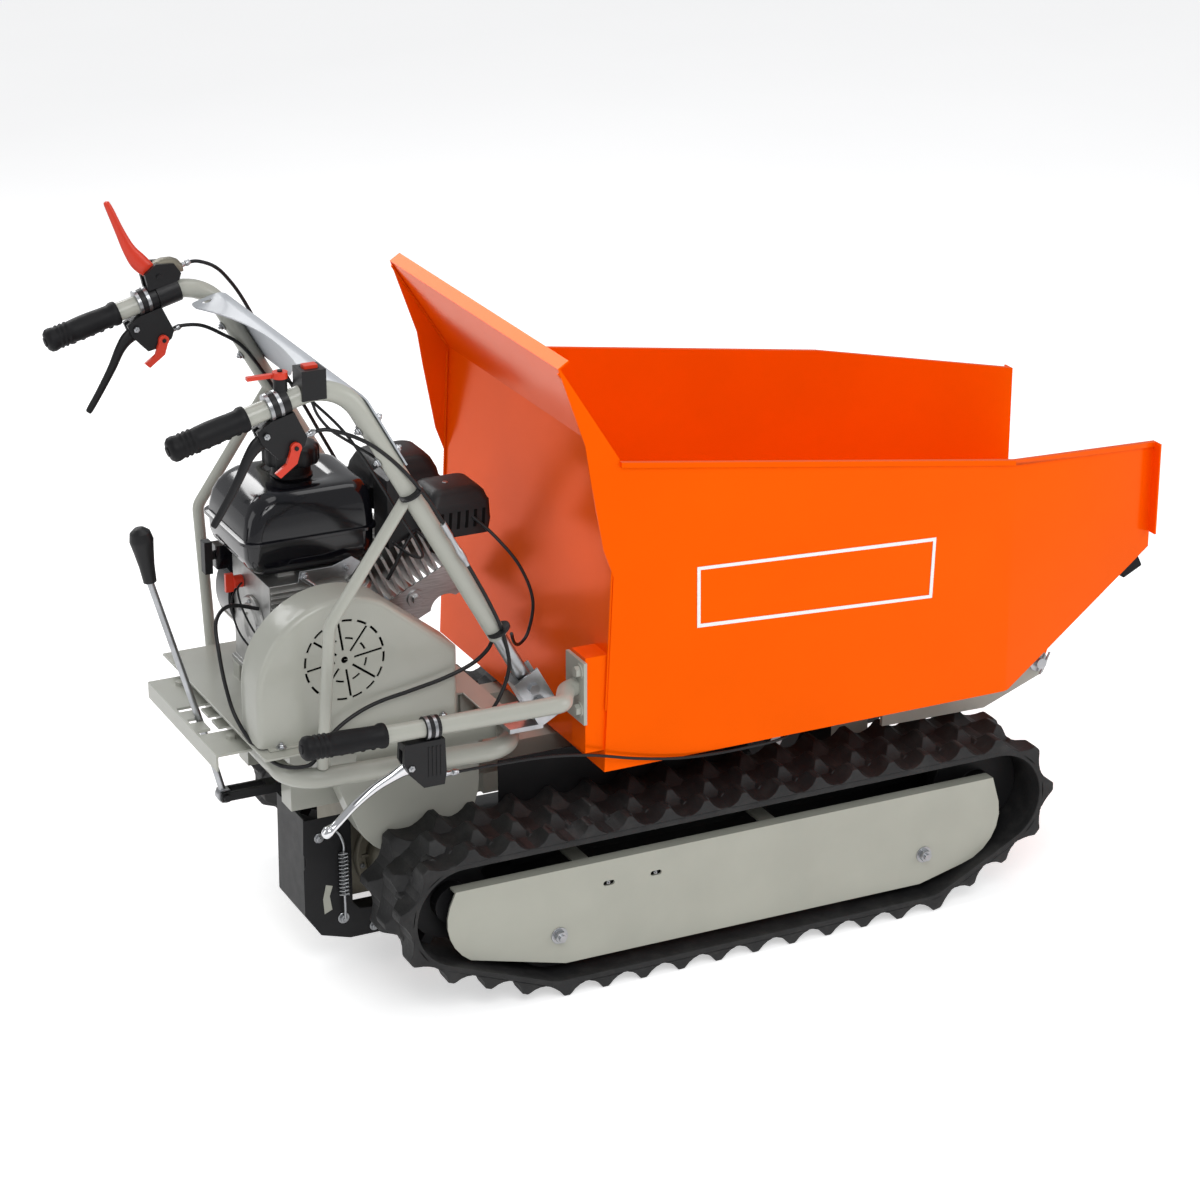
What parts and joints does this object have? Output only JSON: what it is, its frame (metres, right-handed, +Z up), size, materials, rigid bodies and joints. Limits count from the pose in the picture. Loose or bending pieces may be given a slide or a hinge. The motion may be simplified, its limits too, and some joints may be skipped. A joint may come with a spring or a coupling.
{
  "type": "power wheelbarrow",
  "caption": "Tracked walk-behind mini dumper with forward-tipping sheet-metal tub, rear engine with belt drive and handlebar controls.",
  "frame": {"origin": "ground level, in the middle of the bounding box's footprint; the machine's centre plane is y = +0.01549 m, because the dumping handle stands out on the right", "axes": "+X forward to the pouring end and the longest extent, +Y to the operator's left and the shortest extent, +Z up"},
  "size_m": [1.8696, 0.771, 1.28],
  "materials": {
    "frame_grey": "satin",
    "tub_orange": "gloss powder coat",
    "skirt_grey": "satin",
    "console_grey": "satin",
    "black_metal": "satin",
    "engine_black": "gloss",
    "zinc": "zinc plated",
    "chrome": "polished",
    "alloy": "as cast",
    "track_rubber": "moulded",
    "grip_rubber": "ribbed",
    "black_plastic": "moulded",
    "red_plastic": "moulded"
  },
  "bodies": {
    "chassis": {"main_frame": "frame_grey", "guard_tube": "frame_grey", "engine_deck": "frame_grey", "gate_plate": "frame_grey", "handlebars": "frame_grey", "bar_sockets": "zinc", "console_plate": "console_grey", "hand_grips": "grip_rubber", "lever_perches": "black_plastic", "switch_housing": "black_plastic", "control_cables": "black_plastic", "track_beams": "black_metal", "track_skirts": "skirt_grey", "wheel_axles": "zinc", "tracks": "track_rubber", "gearbox": "alloy", "rear_guard": "black_metal", "shift_bracket": "black_metal", "crankcase": "alloy", "cylinder_block": "alloy", "head_baffle": "zinc", "engine_shroud": "black_plastic", "fuel_tank": "engine_black", "air_cleaner": "black_plastic", "muffler": "black_metal", "recoil_housing": "engine_black", "drive_belt": "grip_rubber", "belt_housing": "frame_grey", "belt_cover": "frame_grey", "hinge_pin": "zinc"},
    "tub": {"tub": "tub_orange", "tub_bumpers": "grip_rubber", "dump_handle": "frame_grey", "dump_grip": "grip_rubber", "dump_perch": "black_plastic"},
    "dump_lever": {"dump_lever": "chrome"},
    "tub_latch": {"tub_latch": "zinc"},
    "shift_lever": {"shift_lever": "zinc", "shift_knob": "black_plastic"},
    "fuel_cap": {"fuel_cap": "black_plastic"},
    "recoil_handle": {"recoil_handle": "black_plastic"},
    "engine_switch": {"engine_switch": "red_plastic"},
    "crankshaft": {"crankshaft": "zinc"},
    "driven_pulley": {"driven_pulley": "zinc"},
    "tension_arm": {"tension_arm": "zinc"},
    "steering_lever_right": {"steering_lever_right": "black_plastic"},
    "steering_lever_left": {"steering_lever_left": "black_plastic"},
    "lock_catch_right": {"lock_catch_right": "red_plastic"},
    "lock_catch_left": {"lock_catch_left": "red_plastic"},
    "clutch_lever": {"clutch_lever": "red_plastic"},
    "throttle_lever": {"throttle_lever": "red_plastic"},
    "stop_rocker": {"stop_rocker": "red_plastic"},
    "sprocket_right": {"sprocket_right": "black_metal"},
    "sprocket_left": {"sprocket_left": "black_metal"},
    "idler_right": {"idler_right": "black_metal"},
    "idler_left": {"idler_left": "black_metal"},
    "rear_roller_right": {"rear_roller_right": "black_metal"},
    "rear_roller_left": {"rear_roller_left": "black_metal"},
    "front_roller_right": {"front_roller_right": "black_metal"},
    "front_roller_left": {"front_roller_left": "black_metal"}
  },
  "joints": [
    {"name": "tub_tip", "type": "hinge", "parent": "chassis", "child": "tub", "pos_m": [0.69518, 0.01549, 0.392], "axis": [0, 1, 0], "range_deg": [0, 75]},
    {"name": "dump_lever_pull", "type": "hinge", "parent": "tub", "child": "dump_lever", "pos_m": [-0.57782, -0.36451, 0.49], "axis": [0, 1, 0], "range_deg": [0, 20]},
    {"name": "tub_latch_turn", "type": "hinge", "parent": "tub", "child": "tub_latch", "pos_m": [-0.05682, 0.01549, 0.376], "axis": [0, 1, 0], "range_deg": [-20, 0]},
    {"name": "gear_shift", "type": "hinge", "parent": "chassis", "child": "shift_lever", "pos_m": [-0.75882, 0.01549, 0.317], "axis": [0, 1, 0], "range_deg": [-3.5, 6]},
    {"name": "fuel_cap_turn", "type": "hinge", "parent": "chassis", "child": "fuel_cap", "pos_m": [-0.59582, 0.07349, 0.88], "axis": [0, 0, 1], "range_deg": [0, 90]},
    {"name": "recoil_pull", "type": "slide", "parent": "chassis", "child": "recoil_handle", "axis": [-1, 0, 0], "range_m": [0, 0.45]},
    {"name": "engine_switch_turn", "type": "hinge", "parent": "chassis", "child": "engine_switch", "pos_m": [-0.68582, 0.08549, 0.668], "axis": [1, 0, 0], "range_deg": [0, 60]},
    {"name": "crankshaft_spin", "type": "hinge", "parent": "chassis", "child": "crankshaft", "pos_m": [-0.60482, -0.08451, 0.618], "axis": [0, 1, 0], "continuous": true},
    {"name": "driven_pulley_spin", "type": "hinge", "parent": "chassis", "child": "driven_pulley", "pos_m": [-0.48482, -0.08451, 0.33], "axis": [0, 1, 0], "continuous": true},
    {"name": "clutch_squeeze", "type": "hinge", "parent": "chassis", "child": "clutch_lever", "pos_m": [-0.73282, 0.32349, 1.145], "axis": [0, 1, 0], "range_deg": [-45, 0], "stiffness_Nm_per_rad": 1.5},
    {"name": "belt_tension", "type": "hinge", "parent": "chassis", "child": "tension_arm", "pos_m": [-0.43082, -0.13351, 0.47], "axis": [0, 1, 0], "range_deg": [-7, 0]},
    {"name": "steering_right", "type": "hinge", "parent": "chassis", "child": "steering_lever_right", "pos_m": [-0.77582, -0.29251, 1.058], "axis": [0, 1, 0], "range_deg": [0, 22]},
    {"name": "lock_catch_right_turn", "type": "hinge", "parent": "chassis", "child": "lock_catch_right", "pos_m": [-0.72964, -0.29251, 1.03335], "axis": [0, 1, 0], "range_deg": [0, 20]},
    {"name": "sprocket_right_spin", "type": "hinge", "parent": "chassis", "child": "sprocket_right", "pos_m": [-0.47482, -0.26251, 0.19], "axis": [0, 1, 0], "continuous": true},
    {"name": "steering_left", "type": "hinge", "parent": "chassis", "child": "steering_lever_left", "pos_m": [-0.77582, 0.32349, 1.058], "axis": [0, 1, 0], "range_deg": [0, 22]},
    {"name": "lock_catch_left_turn", "type": "hinge", "parent": "chassis", "child": "lock_catch_left", "pos_m": [-0.72964, 0.32349, 1.03335], "axis": [0, 1, 0], "range_deg": [0, 20]},
    {"name": "sprocket_left_spin", "type": "hinge", "parent": "chassis", "child": "sprocket_left", "pos_m": [-0.47482, 0.29349, 0.19], "axis": [0, 1, 0], "continuous": true},
    {"name": "idler_right_spin", "type": "hinge", "parent": "chassis", "child": "idler_right", "pos_m": [0.55018, -0.26251, 0.19], "axis": [0, 1, 0], "continuous": true},
    {"name": "rear_roller_right_spin", "type": "hinge", "parent": "chassis", "child": "rear_roller_right", "pos_m": [-0.29682, -0.26251, 0.107], "axis": [0, 1, 0], "continuous": true},
    {"name": "front_roller_right_spin", "type": "hinge", "parent": "chassis", "child": "front_roller_right", "pos_m": [0.41518, -0.26251, 0.107], "axis": [0, 1, 0], "continuous": true},
    {"name": "idler_left_spin", "type": "hinge", "parent": "chassis", "child": "idler_left", "pos_m": [0.55018, 0.29349, 0.19], "axis": [0, 1, 0], "continuous": true},
    {"name": "rear_roller_left_spin", "type": "hinge", "parent": "chassis", "child": "rear_roller_left", "pos_m": [-0.29682, 0.29349, 0.107], "axis": [0, 1, 0], "continuous": true},
    {"name": "front_roller_left_spin", "type": "hinge", "parent": "chassis", "child": "front_roller_left", "pos_m": [0.41518, 0.29349, 0.107], "axis": [0, 1, 0], "continuous": true},
    {"name": "throttle_turn", "type": "hinge", "parent": "chassis", "child": "throttle_lever", "pos_m": [-0.74482, -0.29251, 1.148], "axis": [0, 0, 1], "range_deg": [0, 50]},
    {"name": "stop_rocker_tilt", "type": "hinge", "parent": "chassis", "child": "stop_rocker", "pos_m": [-0.69682, -0.29251, 1.151], "axis": [0, 1, 0], "range_deg": [-6, 6]}
  ],
  "couplings": [
    {"joint": "tub_latch_turn", "follows": "dump_lever_pull", "ratio": -1},
    {"joint": "driven_pulley_spin", "follows": "crankshaft_spin", "ratio": 0.5455},
    {"joint": "belt_tension", "follows": "clutch_squeeze", "ratio": 0.15},
    {"joint": "idler_right_spin", "follows": "sprocket_right_spin", "ratio": 1},
    {"joint": "rear_roller_right_spin", "follows": "sprocket_right_spin", "ratio": 1.1605},
    {"joint": "front_roller_right_spin", "follows": "sprocket_right_spin", "ratio": 1.1605},
    {"joint": "idler_left_spin", "follows": "sprocket_left_spin", "ratio": 1},
    {"joint": "rear_roller_left_spin", "follows": "sprocket_left_spin", "ratio": 1.1605},
    {"joint": "front_roller_left_spin", "follows": "sprocket_left_spin", "ratio": 1.1605}
  ]
}
